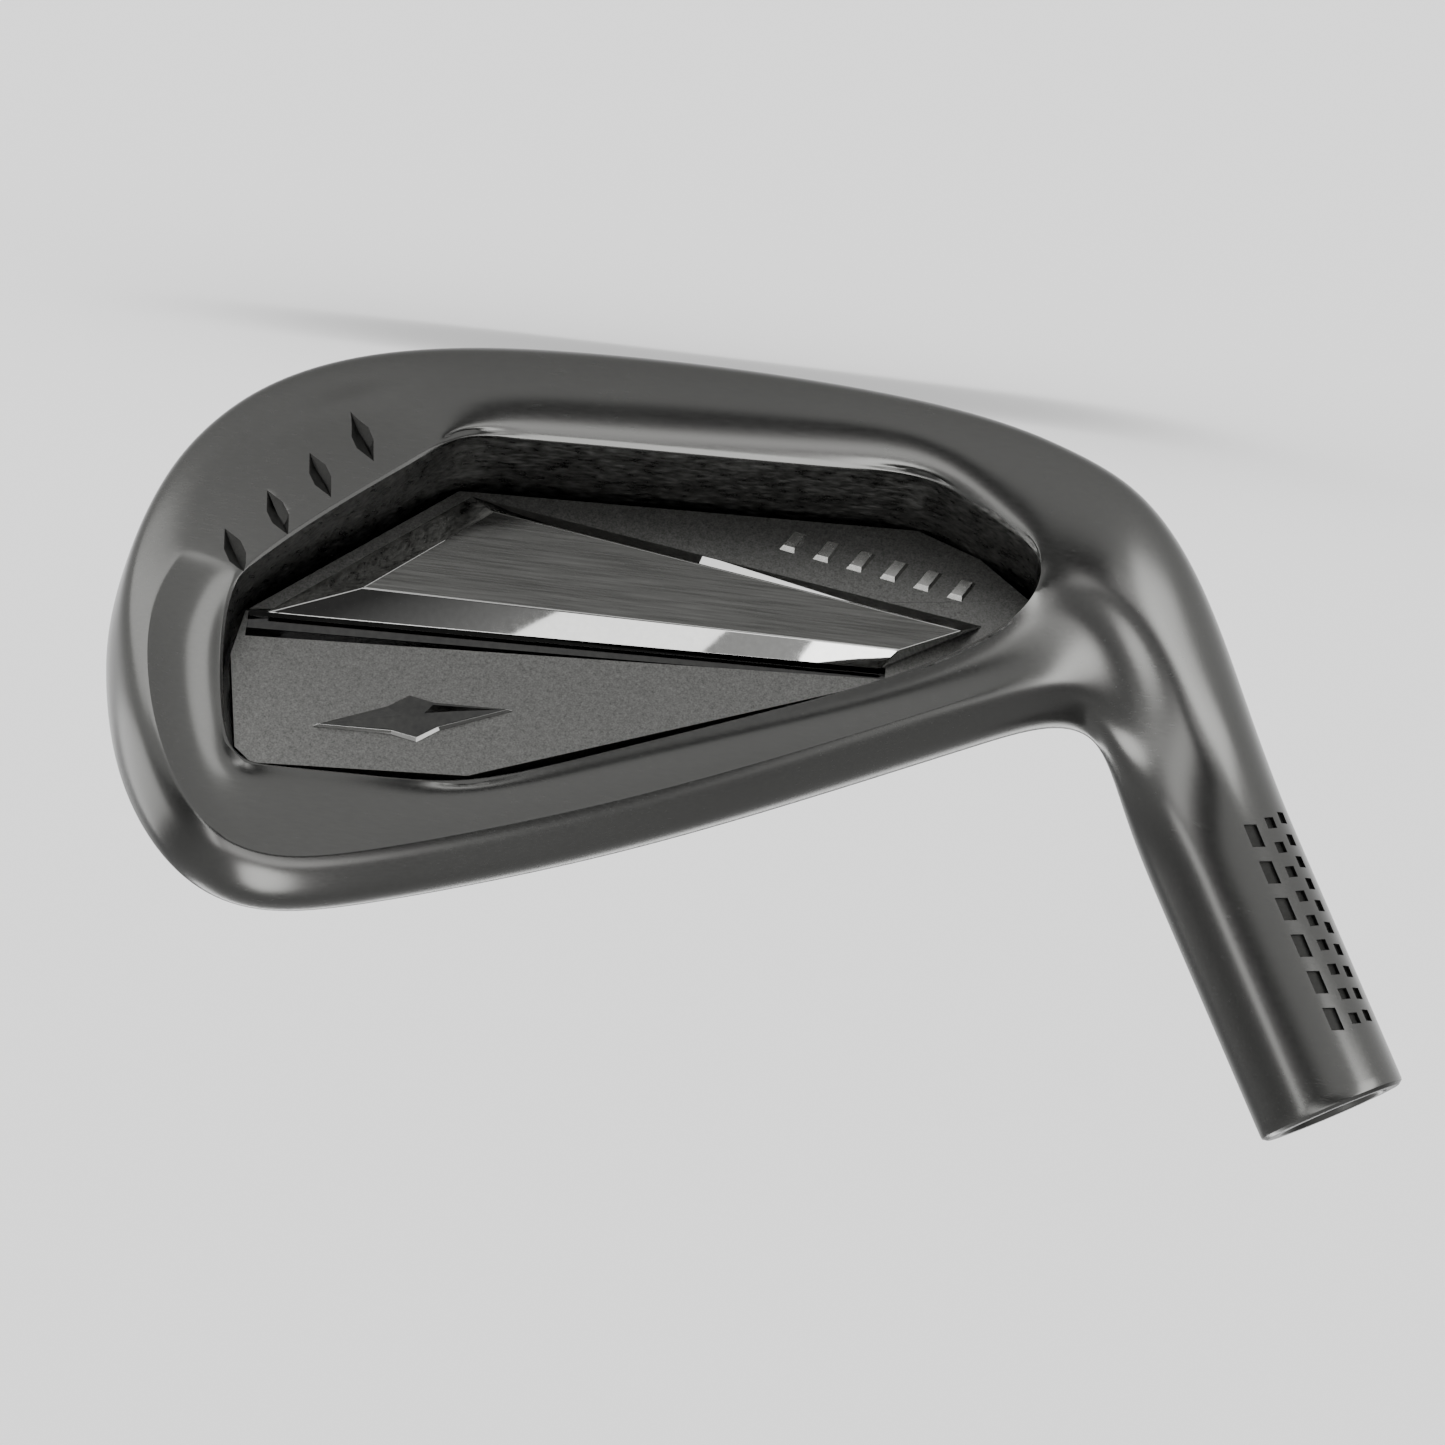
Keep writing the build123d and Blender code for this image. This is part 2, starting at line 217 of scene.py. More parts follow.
def hosel_column(down, radius, side):
    """Half ring of the hosel from front to back, on the toe side (1) or the heel side (-1)."""
    rows = []
    for row in range(HOSEL_ROWS):
        angle = 90 - row * 180 / RIM_ROW
        point = on_hosel(down, angle if side > 0 else 180 - angle, radius * ring_swell)
        rows.append(point)
    return rows


def neck_columns(blade, side, leave):
    """Columns that carry the blade's end column smoothly up into the hosel."""
    ring = hosel_column(ROUND_START, HOSEL_RADIUS, side)
    columns = []
    for step in NECK_STEPS:
        rows = []
        for start, end in zip(blade[:HOSEL_ROWS], ring):
            reach = (end - start).length
            rows.append(hermite(start, leave * reach, end, UP_AXIS * reach, step))
        columns.append(rows)
    return columns


# Distance down the shaft axis and radius: up the bore, over the mouth and down the outside.
HOSEL_STATIONS = [(BORE_LENGTH, BORE_RADIUS), (0.5, BORE_RADIUS), (0.0, BORE_RADIUS + BORE_CHAMFER),
                  (0.0, HOSEL_RADIUS - MOUTH_CHAMFER), (MOUTH_FALL, HOSEL_RADIUS), (8.0, HOSEL_RADIUS),
                  (16.0, HOSEL_RADIUS), (22.0, HOSEL_RADIUS), (ROUND_START, HOSEL_RADIUS)]
MOUTH_STATIONS = (1, 2, 3, 4)
toe_side = [hosel_column(down, radius, 1) for down, radius in HOSEL_STATIONS]
heel_side = [hosel_column(down, radius, -1) for down, radius in HOSEL_STATIONS]
# Directions in which the neck leaves the top line and the sole.
TOP_LEAVE, SOLE_LEAVE = Vector((-0.88, 0.21, -0.42)), Vector((-1.0, 0.0, 0.10))
toe_side += neck_columns(blade_columns[0], 1, TOP_LEAVE)
heel_side += neck_columns(blade_columns[-1], -1, SOLE_LEAVE)


# ---- materials ----------------------------------------------------------
def node(tree, kind, **settings):
    """New shader node with its properties set."""
    item = tree.nodes.new(kind)
    for name, value in settings.items():
        setattr(item, name, value)
    return item


def grain(tree, stretch, scale, detail=3.0):
    """Noise in object space, stretched along chosen axes; scale is per metre."""
    place = node(tree, "ShaderNodeTexCoord")
    mapping = node(tree, "ShaderNodeMapping")
    mapping.inputs["Scale"].default_value = stretch
    noise = node(tree, "ShaderNodeTexNoise")
    noise.inputs["Scale"].default_value = scale
    noise.inputs["Detail"].default_value = detail
    tree.links.new(place.outputs["Object"], mapping.inputs["Vector"])
    tree.links.new(mapping.outputs["Vector"], noise.inputs["Vector"])
    return noise.outputs["Fac"]


def ranged(tree, value, low, high, start=0.3, end=0.7):
    """Value spread between two limits."""
    spread = node(tree, "ShaderNodeMapRange")
    spread.inputs["From Min"].default_value = start
    spread.inputs["From Max"].default_value = end
    spread.inputs["To Min"].default_value = low
    spread.inputs["To Max"].default_value = high
    tree.links.new(value, spread.inputs["Value"])
    return spread.outputs["Result"]


def mixed(tree, share, *sources):
    """Mix of two colours, each one a tone or a socket, by a share from 0 to 1."""
    blend = node(tree, "ShaderNodeMix", data_type="RGBA")
    tree.links.new(share, blend.inputs[0])
    for socket, source in zip(blend.inputs[6:8], sources):      # the two colours of a mix
        if isinstance(source, bpy.types.NodeSocket):
            tree.links.new(source, socket)
        else:
            socket.default_value = (*source, 1)
    return blend.outputs[2]


def between(tree, middle, half):
    """1 where the object's x lies within a band, 0 elsewhere; its middle and half width in metres."""
    place = node(tree, "ShaderNodeTexCoord")
    parts = node(tree, "ShaderNodeSeparateXYZ")
    band = node(tree, "ShaderNodeMath", operation="COMPARE")
    band.inputs[1].default_value = middle
    band.inputs[2].default_value = half
    tree.links.new(place.outputs["Object"], parts.inputs[0])
    tree.links.new(parts.outputs["X"], band.inputs[0])
    return band.outputs[0]


FINE_SHARE = 0.65                       # share of the fine noise in colour and gloss
EVEN = (1, 1, 1)


def metal(name, dark, light, smooth, rough, fine, broad, depth):
    """Dark metal with a fine grain in colour, gloss and relief.

    fine and broad are (stretch, scale) pairs of the two noises; depth is the relief in metres.
    """
    material = bpy.data.materials.new(name)
    material.use_nodes = True
    tree = material.node_tree
    shader = tree.nodes["Principled BSDF"]
    shader.inputs["Metallic"].default_value = 1.0
    fine_noise = grain(tree, *fine)
    broad_noise = grain(tree, *broad, detail=2.0)
    average = node(tree, "ShaderNodeMath", operation="MULTIPLY_ADD")
    average.inputs[1].default_value = FINE_SHARE
    tree.links.new(fine_noise, average.inputs[0])
    part = node(tree, "ShaderNodeMath", operation="MULTIPLY")
    part.inputs[1].default_value = 1 - FINE_SHARE
    tree.links.new(broad_noise, part.inputs[0])
    tree.links.new(part.outputs[0], average.inputs[2])
    tone = mixed(tree, ranged(tree, average.outputs[0], 0, 1), dark, light)
    tree.links.new(tone, shader.inputs["Base Color"])
    tree.links.new(ranged(tree, average.outputs[0], smooth, rough), shader.inputs["Roughness"])
    bump = node(tree, "ShaderNodeBump")
    bump.inputs["Strength"].default_value = 1.0
    bump.inputs["Distance"].default_value = depth
    tree.links.new(fine_noise, bump.inputs["Height"])
    tree.links.new(bump.outputs["Normal"], shader.inputs["Normal"])
    return material


body_metal = metal("black_ion_metal", (0.064, 0.064, 0.062), (0.072, 0.072, 0.0695), 0.23, 0.28,
                   ((1, 6, 6), 900), (EVEN, 60), 0.0000004)
satin_metal = metal("bead_blasted_metal", (0.058, 0.058, 0.056), (0.142, 0.142, 0.137), 0.34, 0.44,
                    (EVEN, 6500), (EVEN, 3000), 0.0000060)
brushed_metal = metal("brushed_metal", (0.042, 0.042, 0.040), (0.105, 0.105, 0.101), 0.22, 0.36,
                      ((0.03, 1, 1), 5200), ((0.08, 1, 1), 700), 0.0000030)
polished_metal = metal("polished_metal", (0.29, 0.29, 0.283), (0.33, 0.33, 0.322), 0.03, 0.06,
                       (EVEN, 1800), (EVEN, 90), 0.0000002)
bar_metal = metal("bar_metal", (0.24, 0.24, 0.23), (0.32, 0.32, 0.31), 0.22, 0.28,
                  (EVEN, 2600), (EVEN, 150), 0.0000010)
# Nearly black mirror metal: the emblem's own dark middle, and painted shade in the plate's channel under
# the wedge.
black_chrome_and_shade = metal("black_chrome_and_channel_shade", (0.030, 0.030, 0.030), (0.045, 0.045, 0.043), 0.06, 0.10,
                    (EVEN, 1800), (EVEN, 90), 0.0000002)
wall_metal = metal("rough_wall_metal", (0.020, 0.020, 0.019), (0.110, 0.110, 0.106), 0.20, 0.50,
                   ((0.35, 1, 1), 2600), ((0.5, 1, 1), 700), 0.000045)
face_metal = metal("face_metal", (0.074, 0.074, 0.0715), (0.083, 0.083, 0.080), 0.28, 0.36,
                   ((1, 6, 6), 900), (EVEN, 60), 0.0000012)
# Nearly black metal for the faces inside every cut on the forging, score lines, marks and dashes alike:
# painted shade in the recesses.
painted_shade_in_cuts = metal("painted_shade_in_cuts", (0.018, 0.018, 0.017), (0.030, 0.030, 0.029), 0.45, 0.60,
                       (EVEN, 3000), (EVEN, 200), 0.0000020)
BLASTED_MIDDLE, BLASTED_HALF = 63.4, 27.5           # the blasted band across the face


def blast(material, middle, half):
    """Give a metal a duller, coarser finish within a band of x."""
    tree = material.node_tree
    shader = tree.nodes["Principled BSDF"]
    band = between(tree, middle * MM, half * MM)
    noise = grain(tree, EVEN, 5200)
    finishes = {"Base Color": mixed(tree, noise, (0.045,) * 3, (0.095,) * 3),
                "Roughness": ranged(tree, noise, 0.48, 0.60)}
    for name, blasted in finishes.items():
        plain = shader.inputs[name].links[0].from_socket
        tree.links.new(mixed(tree, band, plain, blasted), shader.inputs[name])


blast(face_metal, BLASTED_MIDDLE, BLASTED_HALF)


def dress(item, *materials):
    """Give an object its materials, the first one everywhere to begin with."""
    item.data.materials.clear()
    for material in materials:
        item.data.materials.append(material)


# ---- forged body: mesh --------------------------------------------------
def new_object(name, bm, smooth=True):
    """Object from a bmesh given in millimetres."""
    bmesh.ops.scale(bm, vec=(MM, MM, MM), verts=bm.verts)
    mesh = bpy.data.meshes.new(name)
    bm.to_mesh(mesh)
    bm.free()
    for polygon in mesh.polygons:
        polygon.use_smooth = smooth
    item = bpy.data.objects.new(name, mesh)
    bpy.context.scene.collection.objects.link(item)
    return item


def applied(item):
    """Replace an object's mesh with the result of its modifiers."""
    graph = bpy.context.evaluated_depsgraph_get()
    graph.update()
    mesh = bpy.data.meshes.new_from_object(item.evaluated_get(graph))
    item.modifiers.clear()
    item.data = mesh
    return item


def body_cage():
    """Cage of the forging: hosel, neck, blade edge, back field, pocket and face."""
    bm = bmesh.new()
    crease = bm.edges.layers.float.new("crease_edge")
    corner = bm.verts.layers.float.new("crease_vert")
    placed = {}

    def vertex(point):
        """Vertex at a point, shared by all the columns that pass through it."""
        key = tuple(round(value, 3) for value in point)
        if key not in placed:
            placed[key] = bm.verts.new(point)
        return placed[key]

    def share(left, right, row):
        """Give two columns one vertex in a row, halfway between their own."""
        a, b = left[row], right[row]
        if a is not b:
            a.co = (a.co + b.co) / 2
            right[row] = a
            bm.verts.remove(b)

    def mark(a, b, value):
        """Set how sharp the edge between two vertices stays, if there is one."""
        edge = bm.edges.get((a, b))
        if edge:
            edge[crease] = value

    columns = toe_side + blade_columns + heel_side[::-1]
    grid = [[vertex(point) for point in column] for column in columns]
    # The front and back middle lines of the neck are shared by its two sides.
    count = len(toe_side)
    for index in range(count):
        for row in (0, RIM_ROW):
            share(grid[index], grid[-1 - index], row)
    heel_start = count + len(blade_columns) - 1
    for row in (0, RIM_ROW, LIP_ROW, FLOOR_ROW):
        share(grid[count], grid[heel_start], row)
    for left, right in zip(grid, grid[1:]):
        for row in range(min(len(left), len(right)) - 1):
            bm.faces.new((left[row], left[row + 1], right[row + 1], right[row]))
    ring = grid[count:heel_start]
    bm.faces.new([column[0] for column in ring])
    bm.faces.new([column[FLOOR_ROW] for column in reversed(ring)])
    bore_ring = grid[0][:RIM_ROW + 1] + grid[-1][1:RIM_ROW][::-1]
    bm.faces.new(bore_ring)
    bm.edges.ensure_lookup_table()
    for left, right in zip(grid[count:], grid[count + 1:heel_start + 1]):
        for row, value in RIM_SHARPNESS.items():
            mark(left[row], right[row], value)
    for index in CREASED[:-1]:
        mark(grid[count + index][CREASE_ROW], grid[count + index + 1][CREASE_ROW], FIELD_SHARPNESS)
    for index in RIM_CORNERS:
        for row in RIM_SHARPNESS:
            grid[count + index][row][corner] = CORNER_SHARPNESS
    for row in range(CREASE_ROW, RIM_ROW):
        mark(grid[count + TOE_FLAT][row], grid[count + TOE_FLAT][row + 1], FLAT_SHARPNESS)
    for station in MOUTH_STATIONS:
        for column in (grid[station], grid[-1 - station]):
            for row in range(RIM_ROW):
                mark(column[row], column[row + 1], MOUTH_SHARPNESS)
    bmesh.ops.recalc_face_normals(bm, faces=bm.faces)
    return bm


SMOOTHING_LEVELS = 3
forged = new_object("forged_body_shell", body_cage())
smoothing = forged.modifiers.new("smooth", "SUBSURF")
smoothing.levels = smoothing.render_levels = SMOOTHING_LEVELS
applied(forged)
# The last of these is painted shade for the faces inside the cuts.
dress(forged, body_metal, face_metal, wall_metal, painted_shade_in_cuts)


# ---- solids and cuts ----------------------------------------------------
def skin(bm, loops, way=1):
    """Add a closed solid through loops of points; the caps run round in one way or the other, 1 or -1."""
    rings = [[bm.verts.new(point) for point in loop] for loop in loops]
    bm.faces.new(rings[0][::way])
    bm.faces.new(rings[-1][::-way])
    for lower, upper in zip(rings, rings[1:]):
        for i in range(len(lower)):
            k = (i + 1) % len(lower)
            bm.faces.new((lower[i], lower[k], upper[k], upper[i]))


def prism(bm, corners, low, high):
    """Prism between two heights above a plane; the corners are (x, y) pairs."""
    skin(bm, [[(x, y, height) for x, y in corners] for height in (low, high)], -1)


CUTTER_TOP = 1.0                        # how far a cutter stands out of the surface
RIDGE_SHARE, GOUGE_TOP, GOUGE_SPREAD = 0.45, 0.6, 1.4


def gouge(bm, corners, depth):
    """Pointed cutter whose flanks meet in a ridge along its long middle line."""
    ends = (corners[0], corners[len(corners) // 2])
    ridge = [bm.verts.new((x * RIDGE_SHARE, y * RIDGE_SHARE, -depth)) for x, y in ends]
    rim = [bm.verts.new((x * GOUGE_SPREAD, y * GOUGE_SPREAD, GOUGE_TOP)) for x, y in corners]
    bm.faces.new(rim)
    bm.faces.new((rim[0], ridge[0], rim[1]))
    bm.faces.new((rim[1], ridge[0], ridge[1], rim[2]))
    bm.faces.new((rim[2], ridge[1], rim[3]))
    bm.faces.new((rim[3], ridge[1], ridge[0], rim[0]))


def stamp(bm, place, shape, *sizes):
    """Add a shape to a bmesh and move it to its place."""
    first = len(bm.verts)
    shape(bm, *sizes)
    bm.verts.ensure_lookup_table()
    bmesh.ops.transform(bm, matrix=place, verts=bm.verts[first:])


def placed_frame(origin, along, outward):
    """Matrix whose x runs along a direction and whose z is the outward normal."""
    z = outward.normalized()
    x = (along - z * along.dot(z)).normalized()
    y = z.cross(x)
    return Matrix.Translation(origin) @ Matrix((x, y, z)).transposed().to_4x4()


def surface_frame(item, start, direction, along):
    """Frame on the surface first met from a point in a direction, both in millimetres."""
    _, place, normal, _ = item.ray_cast(start * MM, direction.normalized())
    return placed_frame(place / MM, along, normal)


def cut(item, bm, name):
    """Subtract a bmesh given in millimetres from an object."""
    tool = new_object(name, bm, smooth=False)
    dress(tool, *item.data.materials)
    # The cut's own faces take the object's last material: on the forging, painted shade in the cuts; on the
    # plate, painted shade in its channel.
    for polygon in tool.data.polygons:
        polygon.material_index = len(item.data.materials) - 1
    step = item.modifiers.new(name, "BOOLEAN")
    step.operation = "DIFFERENCE"
    step.solver = "EXACT"
    step.object = tool
    applied(item)
    bpy.data.objects.remove(tool)


def sharpen(item, degrees):
    """Smooth shading that breaks at edges sharper than an angle."""
    item.data.shade_smooth()
    item.data.set_sharp_from_angle(angle=radians(degrees))


X_AXIS = Vector((1, 0, 0))
BEHIND = Vector((0, -cos(LOFT), -sin(LOFT)))        # square to the face, from its front to its back
UP_FACE = Vector((0, -sin(LOFT), cos(LOFT)))


# ---- score lines and marks ----------------------------------------------
GROOVE_PITCH, GROOVE_COUNT, GROOVE_WIDTH, GROOVE_DEPTH = 3.6, 13, 0.8, 0.4
GROOVE_RISE, GROOVE_HEEL, GROOVE_TOE = 5.5, 37.0, 90.0
# The upper lines stop short of the top line, which climbs from this point at this slope.
TOP_X, TOP_RISE, TOP_SLOPE, TOP_MARGIN = 28.0, 29.6, 0.472, 3.0
grooves = bmesh.new()
half = GROOVE_WIDTH / 2
for line in range(GROOVE_COUNT):
    rise = GROOVE_RISE + line * GROOVE_PITCH
    heel_end = max(GROOVE_HEEL, TOP_X + (rise + TOP_MARGIN - TOP_RISE) / TOP_SLOPE)
    outline = [(heel_end, -half), (GROOVE_TOE, -half), (GROOVE_TOE, half), (heel_end, half)]
    place = placed_frame(on_face(0, rise), X_AXIS, -BEHIND)
    stamp(grooves, place, prism, outline, -GROOVE_DEPTH, CUTTER_TOP)
cut(forged, grooves, "grooves")

# Engraved slanted lozenges on the toe flat.
MARK_COUNT, MARK_DEPTH = 4, 0.55
# Plain numbers, because a vector would round them and change the cut.
MARK_X, MARK_X_STEP, MARK_RISE, MARK_RISE_STEP = 91.6, 3.2, 17.6, 4.1
MARK_LINE = Vector((12.6, 0, 15.9)).normalized()
MARK_CORNERS = [(1.0, 2.5), (-1.2, 0.3), (-1.0, -2.5), (1.2, -0.3)]
WELL_BEHIND = 40                        # clear of the head, to look at its surface from
marks = bmesh.new()
for step in range(MARK_COUNT):
    view_point = on_face(MARK_X + step * MARK_X_STEP, MARK_RISE + step * MARK_RISE_STEP, WELL_BEHIND)
    along = X_AXIS * MARK_LINE.x + UP_FACE * MARK_LINE.z
    place = surface_frame(forged, view_point, -BEHIND, along)
    stamp(marks, place, gouge, MARK_CORNERS, MARK_DEPTH)
bmesh.ops.recalc_face_normals(marks, faces=marks.faces)
cut(forged, marks, "toe_marks")

# Rows of short engraved dashes on the hosel: angle, half width, count, and filled share of the pitch.
DASH_ROWS = ((-150, 0.55, 10, 0.30), (-133, 0.55, 9, 0.26), (-114, 0.60, 6, 0.36))
DASH_START, DASH_RUN, DASH_DEPTH, DASH_SLANT = 5.5, 21.0, 0.35, 0.7
WELL_OUTSIDE = 20
dashes = bmesh.new()
for angle, half, count, share in DASH_ROWS:
    pitch = DASH_RUN / count
    reach = pitch * share
    near = reach * DASH_SLANT
    for step in range(count):
        down = DASH_START + (step + 0.5) * pitch
        place = surface_frame(forged, on_hosel(down, angle, WELL_OUTSIDE), -on_hosel(0, angle, 1), -UP_AXIS)
        outline = [(-reach, -half), (near, -half), (reach, half), (-near, half)]
        stamp(dashes, place, prism, outline, -DASH_DEPTH, CUTTER_TOP)
cut(forged, dashes, "hosel_marks")
FORGED_SHARP_ANGLE = 32
sharpen(forged, FORGED_SHARP_ANGLE)


# ---- pocket -------------------------------------------------------------
# In this frame x is X, y runs up the face, and z is the depth behind it.
back_frame = placed_frame(on_face(0, 0), X_AXIS, BEHIND)
POCKET = [(83.1, 15.8), (42.4, 14.0), (36.5, 16.4), (31.4, 20.6), (32.4, 24.2), (42.6, 31.6),
          (78.6, 47.6), (97.6, 49.0), (99.6, 47.2), (101.2, 37.0), (100.4, 31.9)]


def drawn_in(corners, distance):
    """Polygon moved inwards by a distance on every side."""
    result = []
    count = len(corners)
    centre = Vector((sum(c[0] for c in corners), sum(c[1] for c in corners))) / count
    for i in range(count):
        before, here, after = (Vector(corners[(i + k) % count]) for k in (-1, 0, 1))
        normals = []
        for a, b in ((before, here), (here, after)):
            side = (b - a).normalized()
            normal = Vector((-side.y, side.x))
            if normal.dot(centre - a) < 0:
                normal = -normal
            normals.append(normal)
        middle = (normals[0] + normals[1]).normalized()
        result.append(tuple(here + middle * (distance / middle.dot(normals[0]))))
    return result


def inside(corners, x, y):
    """Whether a point lies within a polygon."""
    within = False
    for (ax, ay), (bx, by) in zip(corners, corners[1:] + corners[:1]):
        if (ay > y) != (by > y) and x < ax + (y - ay) / (by - ay) * (bx - ax):
            within = not within
    return within


# The flat of the face and the walls of the pocket have finishes of their own.
FACE_SLOT, WALL_SLOT = 1, 2
FACE_ALIGNMENT, FACE_SKIN = 0.995, 0.3              # how square to the face, and how near it
WALL_ALIGNMENT, WALL_DEPTHS, WALL_REACH = 0.5, (2.4, 13.7), 0.7
pocket_edge = drawn_in(POCKET, -WALL_REACH)
to_back_frame = back_frame.inverted()
for polygon in forged.data.polygons:
    if polygon.material_index:
        continue
    facing = polygon.normal.dot(BEHIND)
    x, rise, depth = to_back_frame @ (polygon.center / MM)
    walled = WALL_DEPTHS[0] < depth < WALL_DEPTHS[1] and inside(pocket_edge, x, rise)
    if facing < -FACE_ALIGNMENT and depth < FACE_SKIN:
        polygon.material_index = FACE_SLOT
    elif abs(facing) < WALL_ALIGNMENT and walled:
        polygon.material_index = WALL_SLOT

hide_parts("forged_body")
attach(forged, "root")


# ---- badge --------------------------------------------------------------
PLATE_LOW, PLATE_TOP = 4.3, 6.8
WEDGE_TOP = 8.6


def lofted(*solids):
    """Bmesh of solids given as loops of (x, rise, depth) points, set in the pocket."""
    bm = bmesh.new()
    for loops in solids:
        skin(bm, loops)
    bmesh.ops.recalc_face_normals(bm, faces=bm.faces)
    bmesh.ops.transform(bm, matrix=back_frame, verts=bm.verts)
    return bm


def at_depth(corners, depth):
    """Loop of points at one depth, from (x, rise) corners."""
    return [(x, rise, depth) for x, rise in corners]


def bevelled(item, width, segments=2, angle=20):
    """Round an object's edges and keep its flats flat."""
    step = item.modifiers.new("edges", "BEVEL")
    step.width = width * MM
    step.segments = segments
    step.limit_method = "ANGLE"
    step.angle_limit = radians(angle)
    step.harden_normals = True
    return applied(item)


# Plate, with a channel along the foot of the wedge whose faces are painted nearly black: painted shade
# under the wedge.
PLATE_GAP, PLATE_BEVEL = 0.68, 0.22     # the gap clears the rounded corners of the pocket
# At each end of the channel: x, lower edge, upper edge and deepest line.
CHANNEL_ENDS = (99.5, 32.0, 34.9, 33.2), (44.0, 30.0, 31.2, 30.7)
CHANNEL_OVER, CHANNEL_STEP, CHANNEL_DEEP, CHANNEL_LOW = 0.5, 0.15, 1.1, 0.9
plate_outline = drawn_in(POCKET, PLATE_GAP)
plate_solid = lofted([at_depth(plate_outline, PLATE_LOW), at_depth(plate_outline, PLATE_TOP)])
plate = new_object("badge_plate_shell", plate_solid, smooth=False)
channel = lofted([[(x, low, PLATE_TOP + CHANNEL_OVER), (x, high, PLATE_TOP + CHANNEL_OVER),
                   (x, high, PLATE_TOP - CHANNEL_STEP), (x, deep, PLATE_TOP - CHANNEL_DEEP),
                   (x, low, PLATE_TOP - CHANNEL_LOW)] for x, low, high, deep in CHANNEL_ENDS])
dress(plate, satin_metal, black_chrome_and_shade)
cut(plate, channel, "plate_channel")
bevelled(plate, PLATE_BEVEL)
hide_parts("badge_plate")
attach(plate, "root")

# Wedge, in short stations because its sides twist. Corners at the toe end and the heel end:
# lower foot, lower top, upper top, upper foot.
WEDGE_STATIONS, WEDGE_BEVEL, WEDGE_SHARP_ANGLE = 20, 0.10, 12
WEDGE_TOE = ((98.1, 32.2, PLATE_TOP), (90.0, 29.6, WEDGE_TOP),
             (79.6, 19.6, WEDGE_TOP), (81.7, 16.9, PLATE_TOP))
WEDGE_HEEL = ((44.6, 30.2, PLATE_TOP), (43.0, 29.2, WEDGE_TOP),
              (37.8, 26.3, WEDGE_TOP), (36.0, 24.2, PLATE_TOP))
wedge_loops = [[Vector(a).lerp(Vector(b), station / WEDGE_STATIONS) for a, b in zip(WEDGE_TOE, WEDGE_HEEL)]
               for station in range(WEDGE_STATIONS + 1)]
wedge = new_object("badge_wedge_shell", lofted(wedge_loops))
bevelled(wedge, WEDGE_BEVEL)
sharpen(wedge, WEDGE_SHARP_ANGLE)
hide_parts("badge_wedge")
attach(wedge, "root")

# Emblem, a long four-pointed lozenge with a bright border round a dark faceted middle.
EMBLEM_CENTRE, EMBLEM_TURN, EMBLEM_BEVEL = Vector((84.1, 41.6)), Matrix.Rotation(radians(14), 2), 0.05
EMBLEM_CORNERS = ((-9, 0), (-2.2, -1.5), (0, -2.6), (2.2, -1.5), (9, 0), (2.2, 1.5), (0, 2.6), (-2.2, 1.5))
# Scale along and across, and height above the plate.
EMBLEM_LOOPS = (0.98, 0.98, 0.0), (0.92, 0.86, 0.36), (0.88, 0.76, 0.30), (0.45, 0.06, 0.58)


def emblem_loop(along, across, height):
    """Outline of the emblem at a scale and a height above the plate."""
    corners = [EMBLEM_CENTRE + EMBLEM_TURN @ Vector((x * along, y * across)) for x, y in EMBLEM_CORNERS]
    return at_depth(corners, PLATE_TOP + height)


emblem_solid = lofted([emblem_loop(*loop) for loop in EMBLEM_LOOPS])
emblem = new_object("badge_emblem_shell", emblem_solid, smooth=False)
bevelled(emblem, EMBLEM_BEVEL)
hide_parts("badge_emblem")
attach(emblem, "root")

# Row of slanted bars, seated a little into the plate.
BAR_COUNT, BAR_RISE, BAR_SEAT, BAR_TAPER = 6, 0.40, 0.05, 0.72
BAR_FIRST, BAR_LAST, BAR_TURN = Vector((38.2, 20.6)), Vector((53.2, 17.6)), Matrix.Rotation(radians(-11), 2)
BAR_CORNERS = ((-1.05, -1.2), (0.35, -1.2), (1.05, 1.2), (-0.35, 1.2))


def bar_loops(share):
    """Foot and top of the bar at a share of the way along the row."""
    middle = BAR_FIRST.lerp(BAR_LAST, share)
    foot = [middle + BAR_TURN @ Vector(corner) for corner in BAR_CORNERS]
    top = [middle + (corner - middle) * BAR_TAPER for corner in foot]
    return [at_depth(foot, PLATE_TOP - BAR_SEAT), at_depth(top, PLATE_TOP + BAR_RISE)]


bar_solids = lofted(*(bar_loops(step / (BAR_COUNT - 1)) for step in range(BAR_COUNT)))
bars = new_object("badge_bars_shell", bar_solids, smooth=False)
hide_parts("badge_bars")
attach(bars, "root")


# ---- materials on the badge and the hidden layers -----------------------
FLAT_ALIGNMENT, FACET_ALIGNMENT = 0.995, 0.93
dress(wedge, brushed_metal, polished_metal)
dress(emblem, polished_metal, black_chrome_and_shade)
dress(bars, bar_metal)
for polygon in wedge.data.polygons:
    if polygon.normal.dot(BEHIND) < FLAT_ALIGNMENT:
        polygon.material_index = 1
for polygon in emblem.data.polygons:
    if polygon.normal.dot(BEHIND) > FACET_ALIGNMENT:
        polygon.material_index = 1

rubber = bpy.data.materials.new("damping_rubber")
rubber.use_nodes = True
rubber_tree = rubber.node_tree
rubber_shader = rubber_tree.nodes["Principled BSDF"]
rubber_noise = grain(rubber_tree, EVEN, 1500)
rubber_tree.links.new(mixed(rubber_tree, rubber_noise, (0.012,) * 3, (0.03,) * 3),
                      rubber_shader.inputs["Base Color"])
rubber_tree.links.new(ranged(rubber_tree, rubber_noise, 0.6, 0.8), rubber_shader.inputs["Roughness"])
for name in ("damping_pad", "adhesive_film"):
    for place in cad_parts[name].material_slots:
        place.material = rubber


